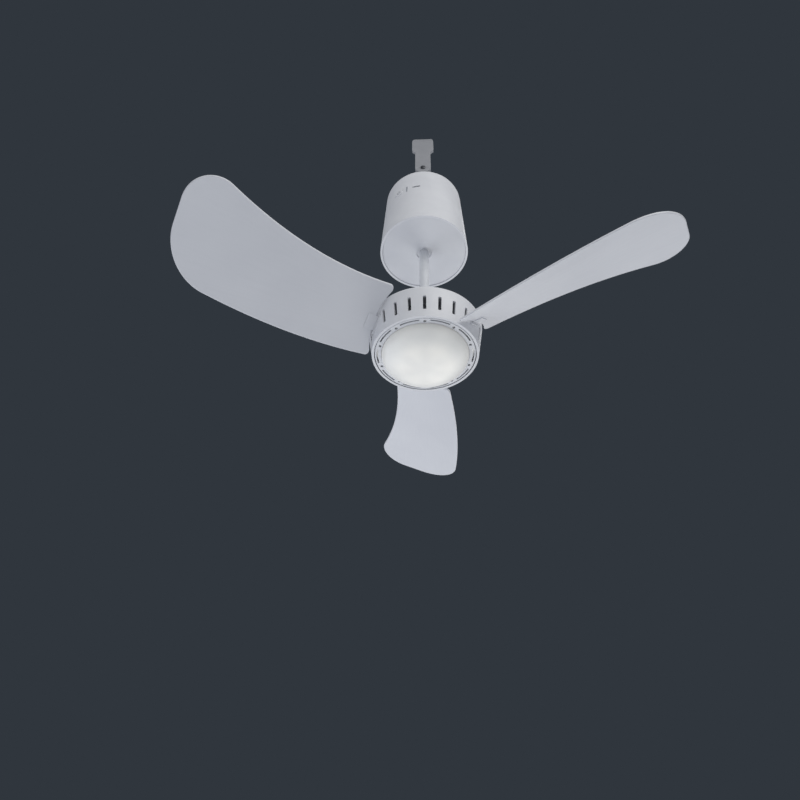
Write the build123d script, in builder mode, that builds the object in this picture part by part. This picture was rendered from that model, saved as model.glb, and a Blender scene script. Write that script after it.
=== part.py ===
from build123d import *
from math import cos, radians, sin, sqrt, tan
import os

os.makedirs("parts", exist_ok=True)

# Driving dimensions, in millimetres and degrees.
# The origin is where the loop bears on the bar that the fan hangs from, with +Z up.

# Hanging bail, a flat strip bent over into a loop, and the bracket that carries it
bail_height = 121.0
bail_inner_span = 88.0
strip_thickness = 4.0
strip_width = 24.0
shoulder_width = 34.0
crown_width = 26.0
flare_start = 45.0
flare_end = 56.0
crown_start = 78.0
crown_end = 107.0
pivot_rise = 20.0
pin_radius = 2.4
pin_head_radius = 3.8
pin_head_thickness = 2.0
pin_side_gap = 0.4
ear_thickness = 3.0
ear_side_gap = 0.8
ear_radius = 8.0
bracket_thickness = 3.0
bracket_width = 28.0
bracket_screw_radius = 2.0
bracket_screw_head_radius = 3.8
bracket_screw_head_height = 2.4
bracket_screw_length = 9.0
bracket_screw_spacing = 46.0

# Battery housing and its base
housing_height = 132.0
housing_top_radius = 56.8
housing_bottom_radius = 63.0
housing_wall = 3.0
housing_edge_radius = 10.0
base_inset = 1.0
base_thickness = 4.0
base_recess_radius = 11.0
base_recess_depth = 1.6

# Control cluster in the side of the housing, round the charging port
port_drop = 50.0
port_angle = 260.0
port_width = 12.0
port_height = 3.4
indicator_angle = 246.0
indicator_width = 2.2
indicator_height = 14.0
button_angle = 233.0
button_radius = 6.5
button_flange = 1.6
button_proud = 1.0
button_travel = 1.5
button_edge = 0.8
switch_width = 8.0
switch_height = 8.0
switch_depth = 6.0
plunger_radius = 1.6
plunger_reach = 2.0
socket_depth = 9.0
socket_wall = 1.0
board_thickness = 1.6
component_size = 10.0
component_corner = 2.0
component_height = 5.0
component_spacing = 18.0
post_count = 3
post_ring_radius = 36.0
post_radius = 3.5

# Battery
cell_count = 6
cell_radius = 9.2
cell_length = 65.0
cell_ring_radius = 36.0
pocket_depth = 3.0
tray_floor = 2.0
tray_bore_radius = 23.0

# Downrod and its fastenings
rod_exposed = 160.0
rod_radius = 6.75
rod_wall = 2.0
washer_radius = 18.0
washer_thickness = 2.5
nut_across_flats = 22.0
nut_height = 8.0
rod_end_length = 4.0
coupler_radius = 12.0
coupler_socket_depth = 18.0
coupler_web = 4.0
coupler_gap = 2.5
coupler_screw_radius = 2.0

# Motor
drum_height = 47.0
drum_top_radius = 73.0
drum_bottom_radius = 66.0
drum_wall = 3.0
drum_edge_radius = 4.0
drum_top_thickness = 4.0
vent_width = 4.0
vent_height = 20.0
vent_rise = 10.5
vent_corner = 1.2
vents_between_blades = 7
vent_pitch = 15.0
shaft_radius = 5.0
shaft_bore_radius = 2.5
bearing_radius = 13.0
bearing_height = 8.0
bearing_lip = 5.0
race_width = 2.2
shield_depth = 1.0
hub_wall = 4.0
stator_radius = 36.3
stator_hub_radius = 18.0
stator_height = 12.0
stator_rise = 26.0
tooth_count = 12
tooth_width = 5.0
shoe_depth = 3.0
shoe_gap = 3.0
winding_depth = 2.1
coil_hub_gap = 1.5
coil_shoe_gap = 0.5
magnet_count = 14
magnet_thickness = 2.4
magnet_height = 16.0
magnet_gap = 1.0
air_gap = 0.7
flux_ring_thickness = 2.5
rotor_skirt = 3.0
rotor_cover_rise = 9.5
rotor_cover_thickness = 2.5

# Light, fixed to the lower end of the shaft
bezel_gap = 0.8
bezel_rise = 0.5
bezel_thickness = 2.5
bezel_inner_radius = 54.0
bezel_rim_width = 1.8
bezel_edge_radius = 0.8
bezel_slit_count = 10
bezel_slit_radius = 59.2
bezel_slit_width = 2.0
bezel_bridge = 13.0
bezel_hole_radius = 1.8
bezel_hole_ring_radius = 57.4
pan_rise = 5.5
pan_thickness = 2.0
spacer_wall = 2.0
lens_drop = 22.0
lens_thickness = 1.8
lens_flange = 2.3
lens_fit = 0.3
led_board_radius = 44.0
led_board_thickness = 1.6
led_board_bore_radius = 11.0
led_count = 6
led_ring_radius = 28.0
led_size = 5.0
led_height = 1.0
shaft_nut_across_flats = 16.0
shaft_nut_height = 4.5

# Blades
blade_count = 3
first_blade_angle = 210.0
blade_rise = 23.0
blade_root_gap = 2.5
blade_tip_radius = 320.0
blade_root_pitch = 35.0
blade_tip_pitch = 24.0
blade_dihedral = 4.5
blade_thickness = 3.0
blade_camber = 4.0
blade_sheet_half_width = 110.0
blade_stations = 5
hollow_edge_root = 43.0
hollow_edge_mid = 47.0
hollow_edge_tip = 87.0
round_edge_root = 31.0
round_edge_mid = 46.0
round_edge_tip = 42.0
hollow_tip_corner = 34.0
round_tip_corner = 54.0
root_corner = 4.5
blade_edge_radius = 1.0
tongue_width = 18.0
tongue_thickness = 4.0
tongue_length = 22.0
tongue_overlap = 10.0
sleeve_wall = 3.0
sleeve_back = 1.6
sleeve_proud = 0.2
sleeve_corner = 1.0

# Clearances
running_clearance = 0.05
seat_clearance = 0.05
loose_clearance = 0.3

# Levels and radii that follow from the sizes above
pivot_z = -bail_height
housing_top_z = pivot_z - pivot_rise
housing_bottom_z = housing_top_z - housing_height
ceiling_z = housing_top_z - housing_wall
base_bottom_z = housing_bottom_z + base_inset
base_top_z = base_bottom_z + base_thickness
tray_top_z = base_top_z + tray_floor + pocket_depth
cell_bottom_z = base_top_z + tray_floor
cell_top_z = cell_bottom_z + cell_length
port_z = housing_top_z - port_drop
socket_height = port_height + 2 * socket_wall
board_top_z = port_z - socket_height / 2
rod_top_z = base_top_z + washer_thickness + nut_height + rod_end_length
drum_top_z = base_bottom_z - rod_exposed
drum_bottom_z = drum_top_z - drum_height
coupler_bottom_z = drum_top_z + coupler_gap
coupler_web_z = coupler_bottom_z + coupler_socket_depth
coupler_top_z = coupler_web_z + coupler_web + coupler_socket_depth
rotor_cover_z = drum_bottom_z + rotor_cover_rise
rotor_cover_top_z = rotor_cover_z + rotor_cover_thickness
stator_mid_z = drum_bottom_z + stator_rise
upper_bearing_z = drum_top_z - drum_top_thickness - bearing_height
lower_bearing_z = rotor_cover_z + rotor_cover_thickness / 2
bearing_lip_radius = bearing_radius - bearing_lip
hub_radius = bearing_radius + hub_wall
magnet_inner_radius = stator_radius + air_gap
flux_inner_radius = magnet_inner_radius + magnet_thickness + seat_clearance
flux_outer_radius = flux_inner_radius + flux_ring_thickness
skirt_inner_radius = flux_outer_radius + seat_clearance
skirt_outer_radius = skirt_inner_radius + rotor_skirt
pan_bottom_z = drum_bottom_z + pan_rise
pan_top_z = pan_bottom_z + pan_thickness
bezel_bottom_z = drum_bottom_z + bezel_rise
bezel_top_z = bezel_bottom_z + bezel_thickness
bezel_outer_radius = drum_bottom_radius - drum_wall - bezel_gap
lens_radius = bezel_inner_radius - lens_fit
led_board_z = pan_bottom_z - led_board_thickness
shaft_bottom_z = pan_bottom_z - shaft_nut_height
leg_outer_y = bail_inner_span / 2 + strip_thickness
ear_outer_y = bail_inner_span / 2 - ear_side_gap
blade_z = drum_bottom_z + blade_rise
sleeve_width = tongue_width + 2 * loose_clearance + 2 * sleeve_wall
sleeve_height = tongue_thickness + 2 * loose_clearance + 2 * sleeve_wall
blade_angles = [first_blade_angle + i * 360 / blade_count for i in range(blade_count)]


def write(part, name):
    part.label = name
    export_step(part, f"parts/{name}.step")


def outward_plane(angle, radius, z, tilt=0.0):
    """Plane facing away from the Z axis, its x along the turn and tipped up by tilt."""
    a = radians(angle)
    t = radians(tilt)
    return Plane(
        origin=(radius * cos(a), radius * sin(a), z),
        x_dir=(-sin(a) * cos(t), cos(a) * cos(t), sin(t)),
        z_dir=(cos(a), sin(a), 0),
    )


def housing_radius(z):
    share = (z - housing_bottom_z) / housing_height
    return housing_bottom_radius + (housing_top_radius - housing_bottom_radius) * share


def housing_inner_radius(z):
    return housing_radius(z) - housing_wall


def drum_radius(z):
    share = (z - drum_bottom_z) / drum_height
    return drum_bottom_radius + (drum_top_radius - drum_bottom_radius) * share


def tube(outer, inner, bottom, top):
    """Adds a plain tube to the open part."""
    with BuildSketch(Plane.XY.offset(bottom)) as ring:
        Circle(outer)
        Circle(inner, mode=Mode.SUBTRACT)
    extrude(ring.sketch, amount=top - bottom)


# Hanging bail: the bent strip seen from the side, cut to its outline seen from the front
with BuildPart() as hanging_bail:
    inner_r = bail_inner_span / 2
    outer_r = inner_r + strip_thickness
    spring_z = -inner_r
    leg_end_z = pivot_z - strip_width / 2
    with BuildSketch(Plane.YZ):
        with BuildLine():
            Line((-outer_r, leg_end_z), (-outer_r, spring_z))
            ThreePointArc((-outer_r, spring_z), (0, spring_z + outer_r), (outer_r, spring_z))
            Polyline((outer_r, spring_z), (outer_r, leg_end_z), (inner_r, leg_end_z), (inner_r, spring_z))
            ThreePointArc((inner_r, spring_z), (0, spring_z + inner_r), (-inner_r, spring_z))
            Polyline((-inner_r, spring_z), (-inner_r, leg_end_z), (-outer_r, leg_end_z))
        make_face()
    extrude(amount=shoulder_width / 2, both=True)
    half_neck = strip_width / 2
    half_shoulder = shoulder_width / 2
    half_crown = crown_width / 2
    with BuildSketch(Plane.XZ):
        with BuildLine():
            CenterArc((0, pivot_z), half_neck, -90, 90)
            Line((half_neck, pivot_z), (half_neck, pivot_z + flare_start))
            Spline(
                (half_neck, pivot_z + flare_start),
                (half_shoulder, pivot_z + flare_end),
                tangents=[(0, 1), (0, 1)],
            )
            Line((half_shoulder, pivot_z + flare_end), (half_shoulder, pivot_z + crown_start))
            Spline(
                (half_shoulder, pivot_z + crown_start),
                (half_crown, pivot_z + crown_end),
                tangents=[(0, 1), (0, 1)],
            )
            Polyline(
                (half_crown, pivot_z + crown_end),
                (half_crown, 2 * strip_thickness),
                (0, 2 * strip_thickness),
            )
            mirror(about=Plane.YZ)
        make_face()
    extrude(amount=2 * outer_r, both=True, mode=Mode.INTERSECT)
    with BuildSketch(Plane.XZ):
        with Locations((0, pivot_z)):
            Circle(pin_radius + running_clearance)
    extrude(amount=2 * outer_r, both=True, mode=Mode.SUBTRACT)
write(hanging_bail.part, "hanging_bail")

# Bracket on the housing's top: a strip with both ends turned up into ears
with BuildPart() as hanger_bracket:
    with BuildSketch(Plane.XY.offset(housing_top_z)):
        Rectangle(bracket_width, 2 * ear_outer_y)
        with GridLocations(0, bracket_screw_spacing, 1, 2):
            Circle(bracket_screw_radius + seat_clearance, mode=Mode.SUBTRACT)
    extrude(amount=bracket_thickness)
    for side in (-1, 1):
        ear_mid_y = side * (ear_outer_y - ear_thickness / 2)
        with BuildSketch(Plane.XZ.offset(-ear_mid_y)):
            with BuildLine():
                Line((-bracket_width / 2, housing_top_z), (bracket_width / 2, housing_top_z))
                Line((bracket_width / 2, housing_top_z), (ear_radius, pivot_z))
                ThreePointArc((ear_radius, pivot_z), (0, pivot_z + ear_radius), (-ear_radius, pivot_z))
                Line((-ear_radius, pivot_z), (-bracket_width / 2, housing_top_z))
            make_face()
            with Locations((0, pivot_z)):
                Circle(pin_radius + seat_clearance, mode=Mode.SUBTRACT)
        extrude(amount=ear_thickness / 2, both=True)
write(hanger_bracket.part, "hanger_bracket")

# Two shouldered pins with heads outside the legs and tails inside the ears
with BuildPart() as pivot_pins:
    pin_end_y = leg_outer_y + pin_side_gap
    tail_y = ear_outer_y - ear_thickness
    for side in (-1, 1):
        with BuildSketch(Plane.XZ.offset(-side * tail_y)):
            with Locations((0, pivot_z)):
                Circle(pin_radius)
        extrude(amount=-side * (pin_end_y - tail_y))
        with BuildSketch(Plane.XZ.offset(-side * pin_end_y)):
            with Locations((0, pivot_z)):
                Circle(pin_head_radius)
        extrude(amount=-side * pin_head_thickness)
        with BuildSketch(Plane.XZ.offset(-side * tail_y)):
            with Locations((0, pivot_z)):
                Circle(pin_head_radius)
        extrude(amount=side * pin_head_thickness)
write(pivot_pins.part, "pivot_pins")

# Pan-head screws through the bracket into the housing's top
with BuildPart() as bracket_screws:
    screw_seat_z = housing_top_z + bracket_thickness
    with BuildSketch(Plane.XY.offset(screw_seat_z)):
        with GridLocations(0, bracket_screw_spacing, 1, 2):
            Circle(bracket_screw_head_radius)
    extrude(amount=bracket_screw_head_height)
    with BuildSketch(Plane.XY.offset(screw_seat_z)):
        with GridLocations(0, bracket_screw_spacing, 1, 2):
            Circle(bracket_screw_radius)
    extrude(amount=-bracket_screw_length)
write(bracket_screws.part, "bracket_screws")

# Battery housing: tapered cup with a rounded top edge and openings for the controls
with BuildPart() as battery_housing:
    with BuildSketch(Plane.XZ):
        with BuildLine():
            FilletPolyline(
                (housing_bottom_radius, housing_bottom_z),
                (housing_top_radius, housing_top_z),
                (0, housing_top_z),
                radius=housing_edge_radius,
            )
            Polyline((0, housing_top_z), (0, housing_bottom_z), (housing_bottom_radius, housing_bottom_z))
        make_face()
    revolve(axis=Axis.Z)
    inner_bottom_radius = housing_bottom_radius - housing_wall
    with BuildSketch(Plane.XZ):
        with BuildLine():
            FilletPolyline(
                (inner_bottom_radius, housing_bottom_z),
                (housing_top_radius - housing_wall, ceiling_z),
                (0, ceiling_z),
                radius=housing_edge_radius - housing_wall,
            )
            Polyline((0, ceiling_z), (0, housing_bottom_z), (inner_bottom_radius, housing_bottom_z))
        make_face()
    revolve(axis=Axis.Z, mode=Mode.SUBTRACT)
    with BuildSketch(Plane.XY.offset(board_top_z)):
        with PolarLocations(post_ring_radius, post_count):
            Circle(post_radius)
    extrude(amount=ceiling_z + housing_wall / 2 - board_top_z)
    cut_start = housing_inner_radius(port_z) - housing_wall
    cut_depth = 4 * housing_wall
    with BuildSketch(outward_plane(port_angle, cut_start, port_z)):
        SlotOverall(port_width, port_height)
    extrude(amount=cut_depth, mode=Mode.SUBTRACT)
    with BuildSketch(outward_plane(indicator_angle, cut_start, port_z)):
        SlotOverall(indicator_height, indicator_width, rotation=90)
    extrude(amount=cut_depth, mode=Mode.SUBTRACT)
    with BuildSketch(outward_plane(button_angle, cut_start, port_z)):
        Circle(button_radius + loose_clearance)
    extrude(amount=cut_depth, mode=Mode.SUBTRACT)
    with BuildSketch(Plane.XY.offset(ceiling_z)):
        with GridLocations(0, bracket_screw_spacing, 1, 2):
            Circle(bracket_screw_radius + seat_clearance)
    extrude(amount=housing_wall, mode=Mode.SUBTRACT)
write(battery_housing.part, "battery_housing")

# Base that closes the mouth of the cup and carries the downrod
with BuildPart() as housing_base:
    with BuildSketch(Plane.XY.offset(base_bottom_z)):
        Circle(housing_inner_radius(base_top_z) - seat_clearance)
    extrude(amount=base_thickness)
    with Locations(Plane(origin=(0, 0, base_bottom_z), z_dir=(0, 0, -1))):
        CounterBoreHole(rod_radius + seat_clearance, base_recess_radius, base_recess_depth)
write(housing_base.part, "housing_base")

# Charging socket on the edge of the board, its mouth behind the slot
socket_front = housing_inner_radius(port_z) - 2 * loose_clearance
with BuildPart() as charging_socket:
    with BuildSketch(outward_plane(port_angle, socket_front, port_z)):
        Rectangle(port_width, socket_height)
    extrude(amount=-socket_depth)
    with BuildSketch(outward_plane(port_angle, socket_front, port_z)):
        SlotOverall(port_width - 2 * socket_wall, port_height)
    extrude(amount=-(socket_depth - 2 * socket_wall), mode=Mode.SUBTRACT)
write(charging_socket.part, "charging_socket")

# Light pipe that fills the upright slot beside the port
with BuildPart() as charge_indicator:
    with BuildSketch(outward_plane(indicator_angle, housing_inner_radius(port_z) - housing_wall, port_z)):
        SlotOverall(
            indicator_height - 2 * seat_clearance,
            indicator_width - 2 * seat_clearance,
            rotation=90,
        )
    extrude(amount=2 * housing_wall)
write(charge_indicator.part, "charge_indicator")

# Power button with a flange that stops behind the wall
flange_radius = button_radius + button_flange
wall_at_button = housing_inner_radius(port_z + flange_radius)
flange_face = sqrt(wall_at_button**2 - flange_radius**2) - loose_clearance
button_inner = flange_face - button_flange
with BuildPart() as power_button:
    with BuildSketch(outward_plane(button_angle, button_inner, port_z)):
        Circle(flange_radius)
    extrude(amount=button_flange)
    with BuildSketch(outward_plane(button_angle, flange_face, port_z)):
        Circle(button_radius)
    extrude(amount=housing_radius(port_z) + button_proud - flange_face)
    button_axis = Axis((0, 0, port_z), (cos(radians(button_angle)), sin(radians(button_angle)), 0))
    fillet(power_button.edges().sort_by(button_axis)[-1], radius=button_edge)
write(power_button.part, "power_button")

# Switch behind the button, standing on the board
plunger_tip = button_inner - button_travel - loose_clearance
with BuildPart() as button_switch:
    switch_mid_z = board_top_z + switch_height / 2
    with BuildSketch(outward_plane(button_angle, plunger_tip - plunger_reach, switch_mid_z)):
        Rectangle(switch_width, switch_height)
    extrude(amount=-switch_depth)
    with BuildSketch(outward_plane(button_angle, plunger_tip - plunger_reach, port_z)):
        Circle(plunger_radius)
    extrude(amount=plunger_reach)
write(button_switch.part, "button_switch")

# Control board with its larger components, hung under the posts of the cup
board_radius = button_inner - button_travel - 2 * loose_clearance
with BuildPart() as control_board:
    with BuildSketch(Plane.XY.offset(board_top_z)):
        Circle(board_radius)
    extrude(amount=-board_thickness)
    with BuildSketch(Plane.XY.offset(board_top_z)):
        with GridLocations(component_spacing, component_spacing, 2, 2):
            RectangleRounded(component_size, component_size, component_corner)
    extrude(amount=component_height)
write(control_board.part, "control_board")

# Battery cells between a tray and a cap with round pockets
with BuildPart() as battery_cells:
    with BuildSketch(Plane.XY.offset(cell_bottom_z)):
        with PolarLocations(cell_ring_radius, cell_count):
            Circle(cell_radius)
    extrude(amount=cell_length)
write(battery_cells.part, "battery_cells")

holder_radius = cell_ring_radius + cell_radius + 3 * tray_floor
with BuildPart() as cell_tray:
    tube(holder_radius, tray_bore_radius, base_top_z, tray_top_z)
    with BuildSketch(Plane.XY.offset(cell_bottom_z)):
        with PolarLocations(cell_ring_radius, cell_count):
            Circle(cell_radius + loose_clearance)
    extrude(amount=pocket_depth, mode=Mode.SUBTRACT)
write(cell_tray.part, "cell_tray")

with BuildPart() as cell_cap:
    tube(holder_radius, tray_bore_radius, cell_top_z - pocket_depth, cell_top_z + tray_floor)
    with BuildSketch(Plane.XY.offset(cell_top_z - pocket_depth)):
        with PolarLocations(cell_ring_radius, cell_count):
            Circle(cell_radius + loose_clearance)
    extrude(amount=pocket_depth, mode=Mode.SUBTRACT)
write(cell_cap.part, "cell_cap")

# Downrod, hung in the base by a washer and a nut
with BuildPart() as downrod:
    tube(rod_radius, rod_radius - rod_wall, coupler_web_z + coupler_web, rod_top_z)
write(downrod.part, "downrod")

with BuildPart() as rod_washer:
    tube(washer_radius, rod_radius + seat_clearance, base_top_z, base_top_z + washer_thickness)
write(rod_washer.part, "rod_washer")

with BuildPart() as rod_nut:
    with BuildSketch(Plane.XY.offset(base_top_z + washer_thickness)):
        RegularPolygon(nut_across_flats / 2, 6, major_radius=False)
        Circle(rod_radius + seat_clearance, mode=Mode.SUBTRACT)
    extrude(amount=nut_height)
write(rod_nut.part, "rod_nut")

# Coupler: the rod from above and the motor shaft from below meet at a web with a wire hole
with BuildPart() as rod_coupler:
    tube(coupler_radius, rod_radius + seat_clearance, coupler_web_z + coupler_web, coupler_top_z)
    tube(coupler_radius, shaft_bore_radius, coupler_web_z, coupler_web_z + coupler_web)
    tube(coupler_radius, shaft_radius + seat_clearance, coupler_bottom_z, coupler_web_z)
    for screw_z in (coupler_top_z - coupler_socket_depth / 2, coupler_web_z - coupler_socket_depth / 2):
        with BuildSketch(outward_plane(0, 0, screw_z)):
            Circle(coupler_screw_radius + seat_clearance)
        extrude(amount=2 * coupler_radius, mode=Mode.SUBTRACT)
write(rod_coupler.part, "rod_coupler")

with BuildPart() as coupler_screws:
    upper_screw_z = coupler_top_z - coupler_socket_depth / 2
    lower_screw_z = coupler_web_z - coupler_socket_depth / 2
    for start, screw_z in ((rod_radius, upper_screw_z), (shaft_radius, lower_screw_z)):
        with BuildSketch(outward_plane(0, start + loose_clearance, screw_z)):
            Circle(coupler_screw_radius)
        extrude(amount=coupler_radius - start)
write(coupler_screws.part, "coupler_screws")

# Fixed hollow shaft of the motor, which also carries the light
with BuildPart() as motor_shaft:
    tube(shaft_radius, shaft_bore_radius, shaft_bottom_z, coupler_web_z)
write(motor_shaft.part, "motor_shaft")


def bearing(bottom):
    """Adds a ball bearing with sunk shields to the open part."""
    tube(bearing_radius - seat_clearance, shaft_radius + running_clearance, bottom, bottom + bearing_height)
    for level in (bottom, bottom + bearing_height - shield_depth):
        with BuildSketch(Plane.XY.offset(level)) as shield:
            Circle(bearing_radius - race_width)
            Circle(shaft_radius + race_width, mode=Mode.SUBTRACT)
        extrude(shield.sketch, amount=shield_depth, mode=Mode.SUBTRACT)


with BuildPart() as upper_bearing:
    bearing(upper_bearing_z)
write(upper_bearing.part, "upper_bearing")

with BuildPart() as lower_bearing:
    bearing(lower_bearing_z)
write(lower_bearing.part, "lower_bearing")

# Stator: toothed core and one coil on each tooth
with BuildPart() as stator_core:
    with BuildSketch(Plane.XY.offset(stator_mid_z)):
        Circle(stator_radius)
        Circle(stator_radius - shoe_depth, mode=Mode.SUBTRACT)
        with PolarLocations(stator_radius, tooth_count, start_angle=180 / tooth_count):
            Rectangle(4 * shoe_depth, shoe_gap, mode=Mode.SUBTRACT)
        Circle(stator_hub_radius)
        with PolarLocations((stator_hub_radius + stator_radius - shoe_depth) / 2, tooth_count):
            Rectangle(stator_radius - stator_hub_radius, tooth_width)
        Circle(shaft_radius + seat_clearance, mode=Mode.SUBTRACT)
    extrude(amount=stator_height / 2, both=True)
write(stator_core.part, "stator_core")

coil_start = stator_hub_radius + coil_hub_gap
coil_end = stator_radius - shoe_depth - coil_shoe_gap
with BuildPart() as stator_windings:
    with BuildSketch(Plane.XY.offset(stator_mid_z)):
        with PolarLocations((coil_start + coil_end) / 2, tooth_count):
            Rectangle(coil_end - coil_start, tooth_width + 2 * winding_depth)
    extrude(amount=stator_height / 2 + winding_depth, both=True)
    with BuildSketch(Plane.XY.offset(stator_mid_z)):
        with PolarLocations((coil_start + coil_end) / 2, tooth_count):
            Rectangle(2 * (coil_end - coil_start), tooth_width + loose_clearance)
    extrude(amount=(stator_height + loose_clearance) / 2, both=True, mode=Mode.SUBTRACT)
write(stator_windings.part, "stator_windings")

# Rotor: magnets in a steel ring, which the skirt inside the drum holds
with BuildPart() as rotor_magnets:
    with BuildSketch(Plane.XY.offset(stator_mid_z)):
        Circle(magnet_inner_radius + magnet_thickness)
        Circle(magnet_inner_radius, mode=Mode.SUBTRACT)
        with PolarLocations(magnet_inner_radius, magnet_count):
            Rectangle(4 * magnet_thickness, magnet_gap, mode=Mode.SUBTRACT)
    extrude(amount=magnet_height / 2, both=True)
write(rotor_magnets.part, "rotor_magnets")

with BuildPart() as flux_ring:
    tube(
        flux_outer_radius,
        flux_inner_radius,
        stator_mid_z - magnet_height / 2,
        stator_mid_z + magnet_height / 2,
    )
write(flux_ring.part, "flux_ring")

with BuildPart() as rotor_cover:
    tube(skirt_outer_radius, bearing_lip_radius, rotor_cover_z, lower_bearing_z)
    tube(skirt_outer_radius, bearing_radius, lower_bearing_z, rotor_cover_top_z)
    tube(hub_radius, bearing_radius, rotor_cover_top_z, lower_bearing_z + bearing_height)
write(rotor_cover.part, "rotor_cover")


# The blades' roots and sleeves follow the drum's wall
blade_root_radius = drum_radius(blade_z) + blade_root_gap
blade_length = blade_tip_radius - blade_root_radius
sleeve_outer_radius = drum_radius(blade_z) + sleeve_proud
sleeve_inner_radius = blade_root_radius - tongue_length - loose_clearance - sleeve_back


def root_point(across):
    """Point of a blade's root edge, clear of the drum by the root gap at its own level."""
    z = blade_z + across * tan(radians(blade_root_pitch))
    reach = drum_radius(min(max(z, drum_bottom_z), drum_top_z)) + blade_root_gap
    return sqrt(reach**2 - across**2), across


def blade_plane(angle, radius):
    """Plane across a blade at a radius, its x along the chord."""
    share = (radius - blade_root_radius) / blade_length
    pitch = blade_root_pitch + (blade_tip_pitch - blade_root_pitch) * share
    z = blade_z + (radius - blade_root_radius) * sin(radians(blade_dihedral))
    return outward_plane(angle, radius, z, pitch)


def socket_plane(angle, radius):
    """Plane across a blade's tongue, which runs level at the pitch of the root."""
    return outward_plane(angle, radius, blade_z, blade_root_pitch)


# Motor drum: slotted, flaring cup with a bearing hub, a magnet skirt and sleeve windows
with BuildPart() as motor_drum:
    with BuildSketch(Plane.XZ):
        with BuildLine():
            FilletPolyline(
                (drum_bottom_radius, drum_bottom_z),
                (drum_top_radius, drum_top_z),
                (bearing_lip_radius, drum_top_z),
                radius=drum_edge_radius,
            )
            Line((bearing_lip_radius, drum_top_z), (bearing_lip_radius, drum_top_z - drum_top_thickness))
            FilletPolyline(
                (bearing_lip_radius, drum_top_z - drum_top_thickness),
                (drum_top_radius - drum_wall, drum_top_z - drum_top_thickness),
                (drum_bottom_radius - drum_wall, drum_bottom_z),
                radius=drum_edge_radius / 2,
            )
            Line((drum_bottom_radius - drum_wall, drum_bottom_z), (drum_bottom_radius, drum_bottom_z))
        make_face()
    revolve(axis=Axis.Z)
    tube(hub_radius, bearing_radius, upper_bearing_z, drum_top_z - drum_top_thickness)
    tube(skirt_outer_radius, skirt_inner_radius, rotor_cover_top_z, drum_top_z - drum_top_thickness)
    vent_z = drum_bottom_z + vent_rise + vent_height / 2
    for blade_angle in blade_angles:
        first_vent = blade_angle + 180 / blade_count - (vents_between_blades - 1) / 2 * vent_pitch
        for step in range(vents_between_blades):
            vent_angle = first_vent + step * vent_pitch
            with BuildSketch(outward_plane(vent_angle, skirt_outer_radius + drum_wall, vent_z)):
                RectangleRounded(vent_width, vent_height, vent_corner)
            extrude(amount=drum_top_radius - skirt_outer_radius, mode=Mode.SUBTRACT)
        with BuildSketch(socket_plane(blade_angle, sleeve_inner_radius)):
            Rectangle(sleeve_width + 2 * seat_clearance, sleeve_height + 2 * seat_clearance)
        extrude(amount=drum_top_radius - sleeve_inner_radius, mode=Mode.SUBTRACT)
write(motor_drum.part, "motor_drum")

# Sleeves through the drum's wall, each with a blind pocket for a blade's tongue
with BuildPart() as blade_sockets:
    for blade_angle in blade_angles:
        with BuildSketch(socket_plane(blade_angle, sleeve_inner_radius)):
            RectangleRounded(sleeve_width, sleeve_height, sleeve_corner)
        extrude(amount=sleeve_outer_radius - sleeve_inner_radius)
        with BuildSketch(socket_plane(blade_angle, sleeve_inner_radius + sleeve_back)):
            Rectangle(tongue_width + 2 * loose_clearance, tongue_thickness + 2 * loose_clearance)
        extrude(amount=sleeve_outer_radius - sleeve_inner_radius, mode=Mode.SUBTRACT)
write(blade_sockets.part, "blade_sockets")

# Blades: a twisted, cambered sheet cut to the swept outline, with a tongue at the root
hollow_root = root_point(hollow_edge_root)
round_root = root_point(-round_edge_root)
sheet_start = min(hollow_root[0], round_root[0]) - root_corner
mid_radius = (blade_root_radius + blade_tip_radius) / 2
for number, blade_angle in enumerate(blade_angles, start=1):
    with BuildPart() as blade:
        sheet_end = blade_sheet_half_width
        for station in range(blade_stations):
            radius = sheet_start + (blade_tip_radius - sheet_start) * station / (blade_stations - 1)
            with BuildSketch(blade_plane(blade_angle, radius)):
                low = -blade_camber - blade_thickness / 2
                high = -blade_camber + blade_thickness / 2
                with BuildLine():
                    ThreePointArc((-sheet_end, low), (0, -blade_thickness / 2), (sheet_end, low))
                    Line((sheet_end, low), (sheet_end, high))
                    ThreePointArc((sheet_end, high), (0, blade_thickness / 2), (-sheet_end, high))
                    Line((-sheet_end, high), (-sheet_end, low))
                make_face()
        loft()
        a = radians(blade_angle)
        outline_plane = Plane(
            origin=(0, 0, blade_z - blade_sheet_half_width),
            x_dir=(cos(a), sin(a), 0),
            z_dir=(0, 0, 1),
        )
        with BuildSketch(outline_plane) as outline:
            with BuildLine():
                Spline(hollow_root, (mid_radius, hollow_edge_mid), (blade_tip_radius, hollow_edge_tip))
                Line((blade_tip_radius, hollow_edge_tip), (blade_tip_radius, -round_edge_tip))
                Spline((blade_tip_radius, -round_edge_tip), (mid_radius, -round_edge_mid), round_root)
                ThreePointArc(round_root, root_point(0), hollow_root)
            make_face()
            fillet(outline.vertices().sort_by(Axis.X)[:2], radius=root_corner)
            fillet(outline.vertices().sort_by(Axis.Y)[-1], radius=hollow_tip_corner)
            fillet(outline.vertices().group_by(Axis.X)[-1].sort_by(Axis.Y)[0], radius=round_tip_corner)
        extrude(amount=3 * blade_sheet_half_width, mode=Mode.INTERSECT)
        skins = blade.faces().sort_by(SortBy.AREA)[-2:]
        fillet(skins.edges(), radius=blade_edge_radius)
        with BuildSketch(socket_plane(blade_angle, blade_root_radius - tongue_length)):
            Rectangle(tongue_width, tongue_thickness)
        extrude(amount=tongue_length + tongue_overlap)
    write(blade.part, f"blade_{number}")

# Light: pan on the shaft, board with its lamps, slotted bezel and domed lens
with BuildPart() as light_pan:
    tube(bezel_outer_radius, shaft_radius + seat_clearance, pan_bottom_z, pan_top_z)
write(light_pan.part, "light_pan")

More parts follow.
